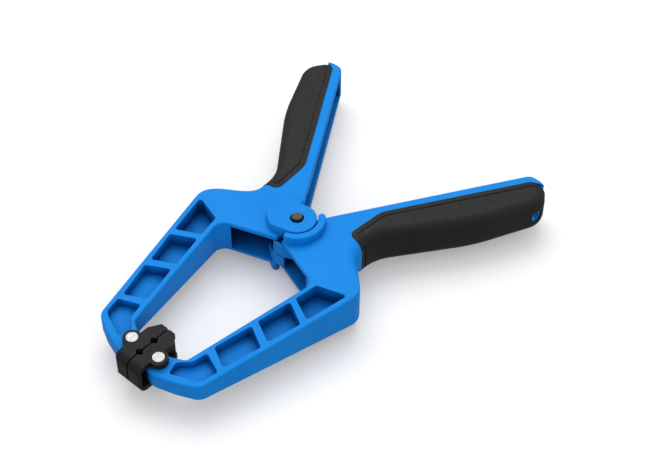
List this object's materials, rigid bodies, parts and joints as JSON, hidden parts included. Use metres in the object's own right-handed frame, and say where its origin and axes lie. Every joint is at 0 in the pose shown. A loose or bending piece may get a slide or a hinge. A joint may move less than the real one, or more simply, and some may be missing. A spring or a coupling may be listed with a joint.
{
  "type": "spring clamp",
  "caption": "Hand spring clamp: crossed ribbed plastic levers on a steel pivot, soft handle grips and swivelling notched jaw pads held shut by a torsion spring.",
  "frame": {"origin": "centre of the clamp's box at rest, on the levers' middle plane", "axes": "+X from the handles to the jaws, +Y towards the right lever's arm and handle, +Z along the pivot pin"},
  "size_m": [0.2306, 0.1666, 0.034],
  "materials": {
    "blue_plastic": "satin moulded",
    "grip_rubber": "fine matte texture",
    "pad_plastic": "matte moulded",
    "pivot_steel": "dark bronze-grey",
    "jaw_pin_steel": "bright zinc",
    "spring_steel": "oiled black"
  },
  "bodies": {
    "right": {"lever_right": "blue_plastic", "grip_right": "grip_rubber", "pivot_pin": "pivot_steel", "torsion_spring": "spring_steel"},
    "left": {"lever_left": "blue_plastic", "grip_left": "grip_rubber"},
    "pad_right": {"jaw_pad_right": "pad_plastic", "jaw_pin_right": "jaw_pin_steel"},
    "pad_left": {"jaw_pad_left": "pad_plastic", "jaw_pin_left": "jaw_pin_steel"}
  },
  "joints": [
    {"name": "main_pivot", "type": "hinge", "parent": "right", "child": "left", "pos_m": [-0.00432, 0, 0], "axis": [0, 0, -1], "range_deg": [0, 57], "stiffness_Nm_per_rad": 3.5, "springref_deg": -20.05, "deforming": ["torsion_spring"]},
    {"name": "right_pad_swivel", "type": "hinge", "parent": "right", "child": "pad_right", "pos_m": [0.10268, 0.0092, 0], "axis": [0, 0, -1], "range_deg": [0, 28.5]},
    {"name": "left_pad_swivel", "type": "hinge", "parent": "left", "child": "pad_left", "pos_m": [0.10268, -0.0092, 0], "axis": [0, 0, -1], "range_deg": [-28.5, 0]}
  ],
  "couplings": [
    {"joint": "right_pad_swivel", "follows": "main_pivot", "ratio": 0.5},
    {"joint": "left_pad_swivel", "follows": "main_pivot", "ratio": -0.5}
  ]
}
